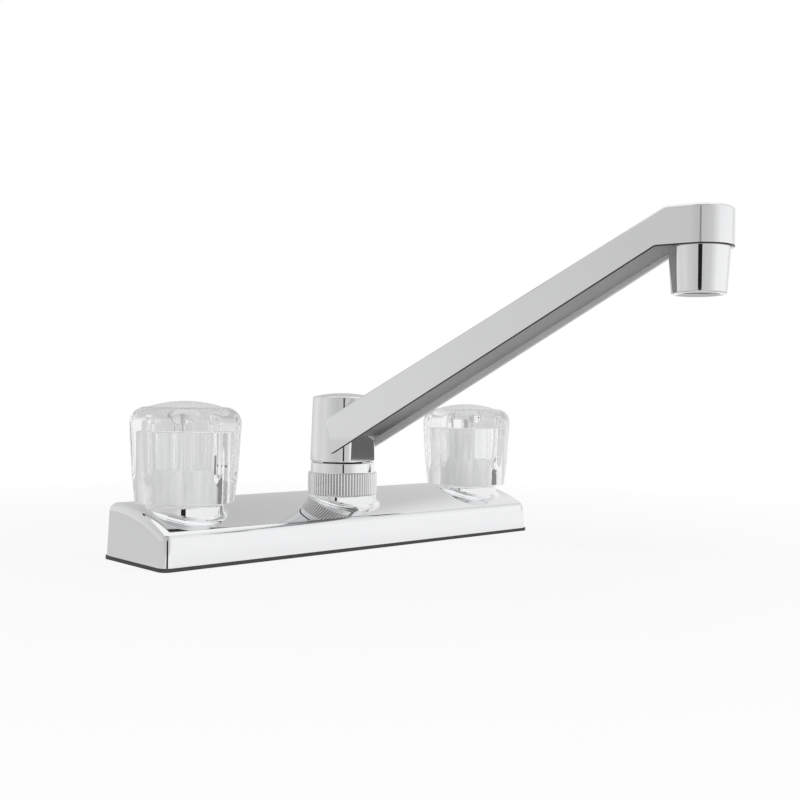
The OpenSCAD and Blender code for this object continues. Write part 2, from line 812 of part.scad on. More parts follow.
// Side view of the water's way from the hub's chamber into the arm
module arm_mouth_side() {
    x1 = hub_flat + over;
    low = plate_t + mouth_floor_gap;
    polygon([[hub_open_x, line_z(plate_a, plate_b, hub_open_x) + low],
        [x1, line_z(plate_a, plate_b, x1) + low],
        [x1, line_z(top_a, top_b, x1) - mouth_roof_gap],
        [hub_open_x, line_z(top_a, top_b, hub_open_x) - mouth_roof_gap]]);
}

// The hub's outside: a slightly tapered drum with a rounded rim and a shallow dome
module hub_form() {
    r = hub_rim_r - hub_edge_r;
    dome_r = (r * r + hub_dome_h * hub_dome_h) / (2 * hub_dome_h);
    rotate_extrude() {
        polygon([[0, hub_z], [hub_foot_r - hub_edge_r / 2, hub_z], [hub_foot_r, hub_z + hub_edge_r / 2],
            [hub_rim_r, hub_rim_z - hub_edge_r], [r, hub_rim_z - hub_edge_r], [r, hub_rim_z],
            [0, hub_rim_z]]);
        translate([r, hub_rim_z - hub_edge_r]) circle(r = hub_edge_r, $fn = 32);
        intersection() {
            translate([0, hub_rim_z + hub_dome_h - dome_r]) circle(r = dome_r, $fn = 360);
            translate([0, hub_rim_z - hub_edge_r]) square([r, hub_edge_r + hub_dome_h]);
        }
    }
}

module spout_shell() {
    color("silver") on_spout() difference() {
        union() {
            hub_form();
            intersection() {
                across_arm(arm_half) arm_side();
                linear_extrude(tip_top_h + over) arm_plan(0, 0);
            }
        }
        intersection() {
            across_arm(arm_half) arm_hollow_side();
            linear_extrude(tip_top_h + over) arm_plan(spout_wall, 0);
        }
        across_arm(hub_chamber_r * hub_mouth_share) arm_mouth_side();
        rod(hub_z - over, swivel_top + over, swivel_r + fit_gap);
        rod(swivel_top, hub_rim_z - hub_roof_t, hub_chamber_r);
    }
}

// Floor of the arm, brazed in between the side walls, with the nipple's hole
module spout_floor_plate() {
    x1 = tip_end - spout_wall;
    color("lightgray") on_spout() difference() {
        intersection() {
            across_arm(arm_half) polygon([[hub_flat, line_z(plate_a, plate_b, hub_flat)], plate_b,
                [x1, plate_tip_z], [x1, plate_tip_z + plate_t], [low_bend, plate_tip_z + plate_t],
                [hub_flat, line_z(plate_a, plate_b, hub_flat) + plate_t]]);
            linear_extrude(tip_top_h) arm_plan(spout_wall + fit_gap / 2, 0);
        }
        translate([spout_reach, 0, plate_tip_z - over])
            cylinder(r = nipple_r + fit_gap / 2, h = plate_t + 2 * over);
    }
}

// Tube that turns in the post, with two seal grooves and the snap ring's groove
module swivel_tube() {
    color("goldenrod") on_spout() difference() {
        rod(swivel_bottom, swivel_top, swivel_r);
        rod(swivel_bottom - over, swivel_top + over, swivel_r - swivel_wall);
        for (i = [0:1]) tube(o_ring_z + i * o_ring_pitch - o_ring_r - fit_gap, 2 * (o_ring_r + fit_gap),
            2 * swivel_r, swivel_r - 2 * o_ring_r - fit_gap);
        tube(snap_z - fit_gap, snap_t + 2 * fit_gap, 2 * swivel_r, snap_groove_r);
    }
}

module spout_o_rings() {
    color("black") on_spout() for (i = [0:1])
        round_ring(o_ring_z + i * o_ring_pitch, swivel_r - o_ring_r, o_ring_r);
}

module spout_snap_ring() {
    color("gray") on_spout() difference() {
        tube(snap_z, snap_t, snap_r, snap_groove_r + fit_gap);
        translate([-2 * snap_r, -snap_slot_w / 2, snap_z - over])
            cube([2 * snap_r, snap_slot_w, snap_t + 2 * over]);
    }
}

module outlet_nipple() {
    color("goldenrod") on_spout() translate([spout_reach, 0, 0]) difference() {
        union() {
            rod(nipple_bottom, plate_tip_z + plate_t, nipple_r);
            rod(plate_tip_z + plate_t, plate_tip_z + plate_t + nipple_flange_t, nipple_flange_r);
        }
        rod(nipple_bottom - over, plate_tip_z + plate_t + nipple_flange_t + over, nipple_bore_r);
    }
}

// Tapered housing that screws on the nipple and holds the insert against the washer
module aerator_housing() {
    edge = 0.5;
    color("silver") on_spout() translate([spout_reach, 0, 0]) difference() {
        rotate_extrude() polygon([[0, aerator_mouth], [aerator_mouth_r - edge, aerator_mouth],
            [aerator_mouth_r, aerator_mouth + edge], [aerator_top_r, aerator_top - edge],
            [aerator_top_r - edge, aerator_top], [0, aerator_top]]);
        rod(aerator_step, aerator_top + over, nipple_r + fit_gap);
        rod(aerator_mouth + mouth_lip_t, aerator_top, insert_r + fit_gap);
        rod(aerator_mouth - over, aerator_top, mouth_r);
    }
}

module aerator_washer() {
    color("black") on_spout() translate([spout_reach, 0, 0])
        tube(nipple_bottom - washer_ring_t, washer_ring_t, nipple_r, nipple_bore_r);
}

// Moulded insert: a flanged cup with a ring of jet holes in its roof
module aerator_insert() {
    z0 = aerator_mouth + mouth_lip_t + screen_t;
    z1 = aerator_step + insert_flange_t;
    roof_t = 1.5;
    wall = 1.2;
    jets = 12;
    jet_r = 0.7;
    jet_ring_share = 0.6;
    color("white") on_spout() translate([spout_reach, 0, 0]) difference() {
        union() {
            rod(z0, z1, insert_r);
            rod(aerator_step, z1, nipple_r);
        }
        rod(z0 - over, z1 - roof_t, insert_r - wall);
        for (i = [0:jets - 1]) rotate([0, 0, i * 360 / jets]) translate([insert_r * jet_ring_share, 0, 0])
            rod(z1 - roof_t - over, z1 + over, jet_r);
    }
}

// Mesh screen over the mouth, drawn as a disc with its larger openings
module aerator_screen() {
    bar_share = 0.06;
    rim_w = 1;
    cells = 5;
    half_bars = (cells - 1) / 2;
    pitch = 2 * mouth_r / cells;
    z0 = aerator_mouth + mouth_lip_t;
    color("gray") on_spout() translate([spout_reach, 0, z0]) linear_extrude(screen_t) {
        difference() {
            circle(r = insert_r);
            circle(r = mouth_r - rim_w);
        }
        intersection() {
            circle(r = mouth_r);
            for (i = [-half_bars:half_bars], a = [0, 90]) rotate(a) translate([0, i * pitch])
                square([2 * mouth_r, 2 * mouth_r * bar_share], center = true);
        }
    }
}

deck_gasket();
deck_cover();
valve_body(hot);  // hot_valve_body
valve_body(cold);  // cold_valve_body
cross_tube(hot);  // hot_cross_tube
cross_tube(cold);  // cold_cross_tube
spout_post();
cover_nuts();
mounting_washers();
mounting_nuts();
cartridge_sleeve(hot);  // hot_cartridge_sleeve
cartridge_sleeve(cold);  // cold_cartridge_sleeve
seat_seal(hot);  // hot_seat_seal
seat_seal(cold);  // cold_seat_seal
fixed_disc(hot);  // hot_fixed_disc
fixed_disc(cold);  // cold_fixed_disc
bonnet(hot);  // hot_bonnet
bonnet(cold);  // cold_bonnet
bonnet_seals();
spout_bearing_ring();
spout_nut();
knob(hot);  // hot_knob
knob_insert(hot);  // hot_knob_insert
index_cap(hot);  // hot_index_cap
handle_screw(hot);  // hot_handle_screw
stem(hot);  // hot_stem
stem_o_ring(hot);  // hot_stem_o_ring
rotor_disc(hot);  // hot_rotor_disc
knob(cold);  // cold_knob
knob_insert(cold);  // cold_knob_insert
index_cap(cold);  // cold_index_cap
handle_screw(cold);  // cold_handle_screw
stem(cold);  // cold_stem
stem_o_ring(cold);  // cold_stem_o_ring
rotor_disc(cold);  // cold_rotor_disc
spout_shell();
spout_floor_plate();
swivel_tube();
spout_o_rings();
spout_snap_ring();
outlet_nipple();
aerator_housing();
aerator_insert();
aerator_screen();
aerator_washer();
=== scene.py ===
import json

import bmesh
import bpy
import numpy as np
from mathutils import Matrix, Vector
from mathutils.kdtree import KDTree


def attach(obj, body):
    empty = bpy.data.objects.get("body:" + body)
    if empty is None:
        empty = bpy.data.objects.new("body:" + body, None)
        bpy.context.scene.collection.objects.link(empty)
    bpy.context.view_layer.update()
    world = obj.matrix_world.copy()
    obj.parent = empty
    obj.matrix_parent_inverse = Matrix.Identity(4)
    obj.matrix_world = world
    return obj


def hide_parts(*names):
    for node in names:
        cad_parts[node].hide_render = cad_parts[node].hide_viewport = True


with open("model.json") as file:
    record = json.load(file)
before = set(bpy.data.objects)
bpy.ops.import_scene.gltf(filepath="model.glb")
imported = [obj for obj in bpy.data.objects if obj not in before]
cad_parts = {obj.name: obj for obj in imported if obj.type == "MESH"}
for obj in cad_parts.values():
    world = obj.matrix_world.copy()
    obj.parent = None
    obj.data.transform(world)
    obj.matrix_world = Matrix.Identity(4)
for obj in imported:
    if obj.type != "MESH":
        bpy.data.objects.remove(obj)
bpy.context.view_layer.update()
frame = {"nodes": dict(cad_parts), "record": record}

MM = 0.001
HANDLES = 101.6
DECK_TOP = 28.0
TURN = np.radians(14 - 90)


# Mesh helpers


def quads(rows, cols, first, wrap):
    """Four-sided faces over a grid of points; wrap joins the last column to the first."""
    i = np.arange(rows - 1)[:, None]
    j = np.arange(cols if wrap else cols - 1)[None, :]
    k = (j + 1) % cols
    row, after = i * cols, (i + 1) * cols
    return first + np.stack([row + j, row + k, after + k, after + j], -1).reshape(-1, 4)


def piece(name, grids, body, material, stands_for=(), facing=None, others=()):
    """One smooth mesh from grids of points in mm, each (points, wrap), doubles merged, faces outwards.

    Where facing gives a surface normal for each point, the mesh shades with these in place of its own.
    others are further materials, each with the numbers of the grids that wear it.
    """
    points, faces, first = [], [], 0
    for grid, wrap in grids:
        grid = np.asarray(grid, float)
        rows, cols = grid.shape[:2]
        points.append(grid.reshape(-1, 3))
        faces.append(quads(rows, cols, first, wrap))
        first += rows * cols
    mesh = bpy.data.meshes.new(name)
    mesh.from_pydata((np.concatenate(points) * MM).tolist(), [], np.concatenate(faces).tolist())
    worn = np.zeros(len(grids), int)
    for k, (_, numbers) in enumerate(others):
        worn[list(numbers)] = k + 1
    mesh.polygons.foreach_set("material_index", np.repeat(worn, [len(part) for part in faces]))
    bm = bmesh.new()
    bm.from_mesh(mesh)
    bmesh.ops.remove_doubles(bm, verts=bm.verts, dist=2e-6)
    bmesh.ops.dissolve_degenerate(bm, edges=bm.edges, dist=1e-7)
    bmesh.ops.recalc_face_normals(bm, faces=bm.faces)
    bm.to_mesh(mesh)
    bm.free()
    mesh.shade_smooth()
    if facing is not None:
        known = KDTree(len(facing))
        for i, point in enumerate(np.concatenate(points) * MM):
            known.insert(point, i)
        known.balance()
        places = [known.find(vertex.co)[1] for vertex in mesh.vertices]
        mesh.normals_split_custom_set_from_vertices(facing[places].tolist())
    mesh.materials.append(material)
    for other, _ in others:
        mesh.materials.append(other)
    obj = bpy.data.objects.new(name, mesh)
    bpy.context.scene.collection.objects.link(obj)
    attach(obj, body)
    if stands_for:
        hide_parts(*stands_for)
    return obj


def rounded(corners, radii, steps=7, skin=0.12):
    """A line through corners (r, z), each an arc of its radius with a point just outside its ends."""
    corners = np.asarray(corners, float)
    out = []
    last = len(corners) - 1
    for i, (p, radius) in enumerate(zip(corners, radii)):
        if radius == 0 or i in (0, last):
            out.append(p[None])
            continue
        a, b = corners[i - 1] - p, corners[i + 1] - p
        la, lb = np.linalg.norm(a), np.linalg.norm(b)
        a, b = a / la, b / lb
        half = np.arccos(np.clip(a @ b, -1, 1)) / 2
        reach = radius / np.tan(half)
        centre = p + (a + b) / np.linalg.norm(a + b) * radius / np.sin(half)
        start, end = p + a * reach - centre, p + b * reach - centre
        t = np.linspace(0, 1, steps)[:, None]
        arc = start * (1 - t) + end * t
        arc = centre + arc / np.linalg.norm(arc, axis=1)[:, None] * radius
        ends = [arc]
        if la > reach + skin * 1.5:
            ends.insert(0, (p + a * (reach + skin))[None])
        if lb > reach + skin * 1.5:
            ends.append((p + b * (reach + skin))[None])
        out.append(np.concatenate(ends))
    return np.concatenate(out)


def turned(line, x=0.0, y=0.0, steps=128):
    """Points of a line (r, z) carried round an upright axis at x, y: (x + r cos a, y + r sin a, z)."""
    a = np.linspace(0, 2 * np.pi, steps, endpoint=False)[None, :]
    r, z = line[:, 0][:, None], line[:, 1][:, None]
    return np.stack([x + r * np.cos(a), y + r * np.sin(a), z + 0 * a], -1), True


def along_arm(grid):
    """Turns points from the arm's own frame, X along the arm, into the part's frame."""
    x, y = grid[..., 0], grid[..., 1]
    c, s = np.cos(TURN), np.sin(TURN)
    return np.stack([x * c - y * s, x * s + y * c, grid[..., 2]], -1)


def soft_min(a, b, k):
    """The lower of two surfaces, with the crease between them rounded over a width k."""
    h = np.clip(0.5 + 0.5 * (b - a) / k, 0, 1)
    return b * (1 - h) + a * h - k * h * (1 - h)


# Finishes


def shader(name):
    material = bpy.data.materials.new(name)
    material.use_nodes = True
    tree = material.node_tree
    return material, tree.nodes, tree.links, tree.nodes["Principled BSDF"]


def speckle(nodes, links, scale, detail=3.0, rough=0.55):
    """Noise on the piece's own coordinates, in metres."""
    where = nodes.new("ShaderNodeTexCoord")
    noise = nodes.new("ShaderNodeTexNoise")
    noise.inputs["Scale"].default_value = scale
    noise.inputs["Detail"].default_value = detail
    noise.inputs["Roughness"].default_value = rough
    links.new(where.outputs["Object"], noise.inputs["Vector"])
    return noise


def ranged(nodes, links, source, start, end, low=0.0, high=1.0):
    """A value between start and end, mapped to low..high and held there outside."""
    span = nodes.new("ShaderNodeMapRange")
    for socket, value in (("From Min", start), ("From Max", end), ("To Min", low), ("To Max", high)):
        span.inputs[socket].default_value = value
    links.new(source, span.inputs["Value"])
    return span.outputs["Result"]


def vector_step(nodes, links, source, operation, operand=None, output="Vector"):
    """One vector operation on a socket, with a constant second operand where it takes one."""
    step = nodes.new("ShaderNodeVectorMath")
    step.operation = operation
    links.new(source, step.inputs[0])
    if operand is not None:
        step.inputs[1].default_value = operand
    return step.outputs[output]


def spread(nodes, links, source, low, high, socket):
    """Maps a noise's middle range to low..high and feeds a socket."""
    links.new(ranged(nodes, links, source.outputs["Fac"], 0.3, 0.7, low, high), socket)


def tint(nodes, links, source, dark, light, socket):
    """A colour that wanders between dark and light with a noise."""
    ramp = nodes.new("ShaderNodeValToRGB")
    ramp.color_ramp.elements[0].position = 0.32
    ramp.color_ramp.elements[0].color = (*dark, 1)
    ramp.color_ramp.elements[1].position = 0.68
    ramp.color_ramp.elements[1].color = (*light, 1)
    links.new(source.outputs["Fac"], ramp.inputs["Fac"])
    links.new(ramp.outputs["Color"], socket)


def relief(nodes, links, source, strength, distance, shade):
    bump = nodes.new("ShaderNodeBump")
    bump.inputs["Strength"].default_value = strength
    bump.inputs["Distance"].default_value = distance
    links.new(source.outputs["Fac"], bump.inputs["Height"])
    links.new(bump.outputs["Normal"], shade.inputs["Normal"])


def metal(name, dark, light, low, high, cloud=90, grain=900, bump=0.02):
    """A metal whose tone and gloss drift slowly, with a fine polished grain."""
    material, nodes, links, shade = shader(name)
    shade.inputs["Metallic"].default_value = 1.0
    wide = speckle(nodes, links, cloud)
    tint(nodes, links, wide, dark, light, shade.inputs["Base Color"])
    spread(nodes, links, wide, low, high, shade.inputs["Roughness"])
    fine = speckle(nodes, links, grain, 2.0)
    relief(nodes, links, fine, bump, 0.0002, shade)
    return material


def moulded(name, dark, light, low, high, cloud=160, grain=2600, bump=0.12):
    """A moulded plastic, rubber or ceramic with a faint grain and uneven gloss."""
    material, nodes, links, shade = shader(name)
    wide = speckle(nodes, links, cloud)
    tint(nodes, links, wide, dark, light, shade.inputs["Base Color"])
    spread(nodes, links, wide, low, high, shade.inputs["Roughness"])
    fine = speckle(nodes, links, grain, 2.0)
    relief(nodes, links, fine, bump, 0.0002, shade)
    return material


def seen_by(nodes, links, *rays):
    """1 for the named kinds of ray, 0 for the rest."""
    path = nodes.new("ShaderNodeLightPath")
    last = path.outputs[rays[0]]
    for ray in rays[1:]:
        either = nodes.new("ShaderNodeMath")
        either.operation = "MAXIMUM"
        links.new(last, either.inputs[0])
        links.new(path.outputs[ray], either.inputs[1])
        last = either.outputs[0]
    return last


def stepped_tone(nodes, links, source, stops):
    """Greys at places 0 to 1 along a value."""
    ramp = nodes.new("ShaderNodeValToRGB")
    edge = ramp.color_ramp.elements
    while len(edge) < len(stops):
        edge.new(0.5)
    for i, (place, grey) in enumerate(stops):
        edge[i].position = place
        edge[i].color = (grey, grey, grey, 1)
    links.new(source, ramp.inputs["Fac"])
    return ramp.outputs["Color"]


def clear(name, colour, low, high, haze=0.12, index=1.49):
    """Clear acrylic with a little haze; lamps and scattered light pass straight through it."""
    material, nodes, links, shade = shader(name)
    shade.inputs["Base Color"].default_value = (*colour, 1)
    shade.inputs["Transmission Weight"].default_value = 1.0 - haze
    shade.inputs["IOR"].default_value = index
    wide = speckle(nodes, links, 120)
    spread(nodes, links, wide, low, high, shade.inputs["Roughness"])
    fine = speckle(nodes, links, 420, 2.0)
    relief(nodes, links, fine, 0.015, 0.0003, shade)
    straight = nodes.new("ShaderNodeBsdfTransparent")
    mix = nodes.new("ShaderNodeMixShader")
    links.new(seen_by(nodes, links, "Is Shadow Ray", "Is Diffuse Ray"), mix.inputs["Fac"])
    links.new(shade.outputs[0], mix.inputs[1])
    links.new(straight.outputs[0], mix.inputs[2])
    links.new(mix.outputs[0], nodes["Material Output"].inputs["Surface"])
    return material


def streaked(name, x0, dark, light):
    """A milky core streaked upright: noise of the direction from the axis at x0, slow in height."""
    material, nodes, links, shade = shader(name)
    where = nodes.new("ShaderNodeTexCoord")
    last = where.outputs["Object"]
    steps = (("SUBTRACT", (x0 * MM, 0, 0)), ("MULTIPLY", (1, 1, 0)), ("NORMALIZE", None))
    for operation, operand in steps:
        last = vector_step(nodes, links, last, operation, operand)
    lift = nodes.new("ShaderNodeVectorMath")
    lift.operation = "MULTIPLY_ADD"
    lift.inputs[1].default_value = (0, 0, 7)
    links.new(where.outputs["Object"], lift.inputs[0])
    links.new(last, lift.inputs[2])
    noise = nodes.new("ShaderNodeTexNoise")
    noise.inputs["Scale"].default_value = 4.5
    noise.inputs["Detail"].default_value = 4.0
    links.new(lift.outputs["Vector"], noise.inputs["Vector"])
    tint(nodes, links, noise, dark, light, shade.inputs["Base Color"])
    spread(nodes, links, noise, 0.3, 0.5, shade.inputs["Roughness"])
    relief(nodes, links, noise, 0.4, 0.0008, shade)
    return material


def paint_shade_near_axis(material, near, far):
    """Paints shade into a finish's colour towards the upright axis, where the arm's hollow runs out at
    the hub.
    """
    nodes, links = material.node_tree.nodes, material.node_tree.links
    shade = nodes["Principled BSDF"]
    tone = shade.inputs["Base Color"].links[0].from_socket
    where = nodes.new("ShaderNodeTexCoord")
    flat = vector_step(nodes, links, where.outputs["Object"], "MULTIPLY", (1, 1, 0))
    away = vector_step(nodes, links, flat, "LENGTH", output="Value")
    mix = nodes.new("ShaderNodeMix")
    mix.data_type = "RGBA"
    # painted shade: a near-black mixed into the colour close to the axis
    mix.inputs[6].default_value = (0.05, 0.05, 0.052, 1)
    links.new(ranged(nodes, links, away, near, far, 0.2), mix.inputs[0])
    links.new(tone, mix.inputs[7])
    links.new(mix.outputs[2], shade.inputs["Base Color"])


def ribbed(name, ribs, phase, shaded_valley, crest):
    """Chrome with painted shade in its valleys: its tone follows cos(ribs * angle + phase) round the
    upright axis.
    """
    material, nodes, links, shade = shader(name)
    shade.inputs["Metallic"].default_value = 1.0
    where = nodes.new("ShaderNodeTexCoord")
    angle = nodes.new("ShaderNodeTexGradient")
    angle.gradient_type = "RADIAL"
    links.new(where.outputs["Object"], angle.inputs["Vector"])
    turn = nodes.new("ShaderNodeMath")
    turn.operation = "MULTIPLY_ADD"
    turn.inputs[1].default_value = 2 * np.pi * ribs
    turn.inputs[2].default_value = phase - np.pi * ribs
    links.new(angle.outputs["Fac"], turn.inputs[0])
    wave = nodes.new("ShaderNodeMath")
    wave.operation = "COSINE"
    links.new(turn.outputs[0], wave.inputs[0])
    height = ranged(nodes, links, wave.outputs[0], -0.7, 0.5)
    links.new(stepped_tone(nodes, links, height, [(0, shaded_valley), (1, crest)]), shade.inputs["Base Color"])
    wide = speckle(nodes, links, 60)
    spread(nodes, links, wide, 0.08, 0.14, shade.inputs["Roughness"])
    return material


chrome = metal(
    "chrome_plate", (0.885, 0.89, 0.9), (0.9, 0.905, 0.912), 0.03, 0.05, cloud=40, bump=0.004
)
brass = metal("machined_brass", (0.66, 0.47, 0.2), (0.78, 0.6, 0.3), 0.18, 0.32, bump=0.08)
# painted shade: brass darkened to near-black where the swivel tube shows in the gap between hub and nut
shaded_brass = metal("painted_shade_brass", (0.06, 0.045, 0.03), (0.1, 0.08, 0.05), 0.4, 0.55, bump=0.08)
copper = metal("drawn_copper", (0.7, 0.36, 0.22), (0.82, 0.47, 0.31), 0.15, 0.3, bump=0.05)
steel = metal("stainless_steel", (0.52, 0.52, 0.52), (0.66, 0.66, 0.65), 0.18, 0.3, bump=0.06)
acrylic = clear("clear_acrylic", (0.985, 0.99, 0.992), 0.0, 0.02, haze=0.09)
lens = clear("frosted_lens", (0.9, 0.905, 0.91), 0.12, 0.22, haze=0.75)
# the floor plate's own casting grey; painted shade near the hub is added to it below
underside = moulded(
    "dull_casting_shaded_at_hub", (0.3, 0.302, 0.305), (0.34, 0.342, 0.345), 0.3, 0.42, cloud=60, bump=0.05
)
# painted shade: the plate darkens to near-black towards the hub
paint_shade_near_axis(underside, 0.02, 0.045)
cast_wall = moulded(
    "bare_casting", (0.74, 0.745, 0.75), (0.8, 0.805, 0.81), 0.35, 0.5, cloud=60, bump=0.05
)
# painted reflection: near-black chrome for the dark line along the arm walls' lower edge
lip_painted_reflection = metal("lip_painted_reflection", (0.07, 0.07, 0.073), (0.1, 0.1, 0.103), 0.2, 0.3, bump=0.01)
# painted shade on the hub's underside, which faces the nut across a narrow gap
shadowed = metal("painted_shade_foot", (0.05, 0.045, 0.04), (0.08, 0.075, 0.07), 0.4, 0.55, bump=0.05)
ceramic = moulded("lapped_ceramic", (0.86, 0.85, 0.82), (0.92, 0.91, 0.89), 0.08, 0.16, bump=0.02)
gasket = moulded("gasket_rubber", (0.045, 0.046, 0.05), (0.075, 0.076, 0.08), 0.5, 0.7, bump=0.3)
seal = moulded("seal_rubber", (0.015, 0.015, 0.016), (0.03, 0.03, 0.032), 0.3, 0.45, bump=0.15)
nylon = moulded("nut_nylon", (0.74, 0.74, 0.72), (0.82, 0.82, 0.8), 0.35, 0.5, bump=0.2)
acetal = moulded("white_acetal", (0.78, 0.77, 0.73), (0.84, 0.83, 0.8), 0.25, 0.4, bump=0.1)

FINISH = {
    "chrome_plate": chrome,
    "clear_acrylic": acrylic,
    "brass": brass,
    "copper_tube": copper,
    "stainless_steel": steel,
    "ceramic": ceramic,
    "gasket_rubber": gasket,
    "seal_rubber": seal,
    "nut_nylon": nylon,
    "white_plastic": acetal,
}
# the swivel tube wears the darkened brass, painted shade for the gap between hub and nut
OWN_FINISH = {"spout_floor_plate": underside, "swivel_tube": shaded_brass}
for name, x0 in (("hot_knob_insert", -HANDLES), ("cold_knob_insert", HANDLES)):
    OWN_FINISH[name] = streaked(name + "_milk", x0, (0.76, 0.765, 0.77), (0.985, 0.985, 0.985))
for part in frame["record"]["subparts"]:
    node = frame["nodes"][part["node"]]
    node.data.materials.clear()
    node.data.materials.append(OWN_FINISH.get(part["node"]) or FINISH[part["material_slot"]])


# Deck cover

HALF_L, HALF_W, MID_Y = 129.5, 29.1, 1.2
CROWN_BACK, CROWN_DROP = 2 * HALF_W * 0.345, 11.6
CROWN_Y = CROWN_BACK + MID_Y
TOP_R = ((CROWN_BACK + HALF_W) ** 2 + CROWN_DROP**2) / (2 * CROWN_DROP)
TOP_AXIS = DECK_TOP - TOP_R
SEAM_X = HANDLES / 2
GASKET = 1.8


def deck_height(y):
    """The crowned top is a cylinder lying along X: z = axis height + sqrt(R^2 - (y - crown)^2)."""
    return TOP_AXIS + np.sqrt(TOP_R**2 - (y - CROWN_Y) ** 2)


def deck_facing(y):
    """The crowned top's own normal: straight away from its axis."""
    tilt = (y - CROWN_Y) / TOP_R
    return np.stack([0 * y, tilt, np.sqrt(1 - tilt**2)], -1)


def unit(v):
    return v / np.linalg.norm(v, axis=-1)[..., None]


def cover_outline(inset):
    """The cover's plan at an inset: points and outward normals, round from the front left."""
    hl, hw, rc = HALF_L - inset, HALF_W - inset, max(4.2 - inset, 0.05)
    x0, x1, y0, y1 = -hl + rc, hl - rc, MID_Y - hw + rc, MID_Y + hw - rc
    near = np.arange(-25, 25.1, 0.9)
    front = [np.arange(x0, x1, 3.2), [-SEAM_X, SEAM_X, x1], near - HANDLES, near, near + HANDLES]
    front = np.concatenate(front)
    front = np.unique(np.round(front[(front >= x0) & (front <= x1)], 4))
    front = front[np.append(np.diff(front) > 0.3, True)]
    front = np.unique(np.append(front, [x0, -SEAM_X, SEAM_X]))
    side = np.linspace(y0, y1, 27)
    runs = []
    corner = np.linspace(0, np.pi / 2, 10)[1:-1]
    plans = (
        (front, np.full_like(front, y0), 0, -1, x1, y0, -np.pi / 2),
        (np.full_like(side, x1), side, 1, 0, x1, y1, 0),
        (front[::-1], np.full_like(front, y1), 0, 1, x0, y1, np.pi / 2),
        (np.full_like(side, x0), side[::-1], -1, 0, x0, y0, np.pi),
    )
    for x, y, nx, ny, cx, cy, turn in plans:
        runs.append(np.stack([x + rc * nx, y + rc * ny, 0 * x + nx, 0 * x + ny], -1))
        a = corner + turn
        runs.append(np.stack([cx + rc * np.cos(a), cy + rc * np.sin(a), np.cos(a), np.sin(a)], -1))
    return np.concatenate(runs)


def cover_edge():
    """Rows of the wall and its top fillet, an arc from the wall's leaning normal to the crown's own."""
    lean, r = 0.9, 4.3
    plan = cover_outline(lean + r)
    x, y, nx, ny = plan.T
    z = TOP_AXIS + np.sqrt((TOP_R - r) ** 2 - (y - CROWN_Y) ** 2)
    centre = np.stack([x, y, z], -1)
    tilt = lean / (z - GASKET)
    out = unit(np.stack([nx, ny, tilt], -1))
    up = np.stack([0 * x, (y - CROWN_Y) / (TOP_R - r), 0 * x], -1)
    up[:, 2] = np.sqrt(1 - up[:, 1] ** 2)
    t = np.linspace(0, 1, 15)[:, None, None]
    turn = unit(out * (1 - t) + up * t)
    arc = centre + r * turn
    slope = np.stack([nx * tilt, ny * tilt, 0 * x - 1], -1) * (arc[0, :, 2] - GASKET)[:, None]
    rows = arc[0] + slope * np.array([1, 0.7, 0.4, 0.15])[:, None, None]
    facing = np.concatenate([np.repeat(out[None], len(rows), 0), turn])
    return np.concatenate([rows, arc]), facing, arc[-1], plan[:, :2]


def boss_rows(angle, x0, hole):
    """A boss in polar form round x0: hole edge, flat ring, fillet, wall, and a flare to the deck."""
    rb = 19.2
    flare_full, edge_full = 2.6, 0.8
    at = lambda r: deck_height(r * np.sin(angle))
    rise = np.maximum(DECK_TOP - at(rb + 1.2), 0.002)
    flare = np.minimum(flare_full, rise * 0.62)
    edge = np.minimum(edge_full, rise * 0.3)
    flat = 0 * angle
    away = np.stack([np.cos(angle), np.sin(angle), flat], -1)
    top = np.linspace(hole, rb - 0.9, 5)
    rows = [(flat + r, flat + DECK_TOP, away * 0 + [0, 0, 1]) for r in top]
    for f in np.linspace(0, np.pi / 2, 7):
        r = rb - edge + edge * np.sin(f)
        rows.append((r, DECK_TOP - edge * (1 - np.cos(f)), away * np.sin(f) + [0, 0, np.cos(f)]))
    for f in np.linspace(np.pi / 2, 0, 14):
        r = rb + flare * (1 - np.sin(f))
        facing = away * np.sin(f) + deck_facing(r * np.sin(angle)) * np.cos(f)
        rows.append((r, at(r) + flare * (1 - np.cos(f)), facing))
    r, z, facing = (np.stack(part) for part in zip(*rows))
    return np.stack([x0 + r * np.cos(angle), r * np.sin(angle), z], -1), unit(facing)


def deck_cell(x0, hole, rim):
    """The deck between a boss and the cell's rim: straight lines in plan, lifted to the crowned top."""
    angle = np.arctan2(rim[:, 1], rim[:, 0] - x0)
    boss, boss_facing = boss_rows(angle, x0, hole)
    t = np.linspace(0, 1, 22)[1:, None, None]
    rows = boss[-1] * (1 - t) + rim * t
    rows[..., 2] = deck_height(rows[..., 1])
    return np.concatenate([boss, rows]), np.concatenate([boss_facing, deck_facing(rows[..., 1])])


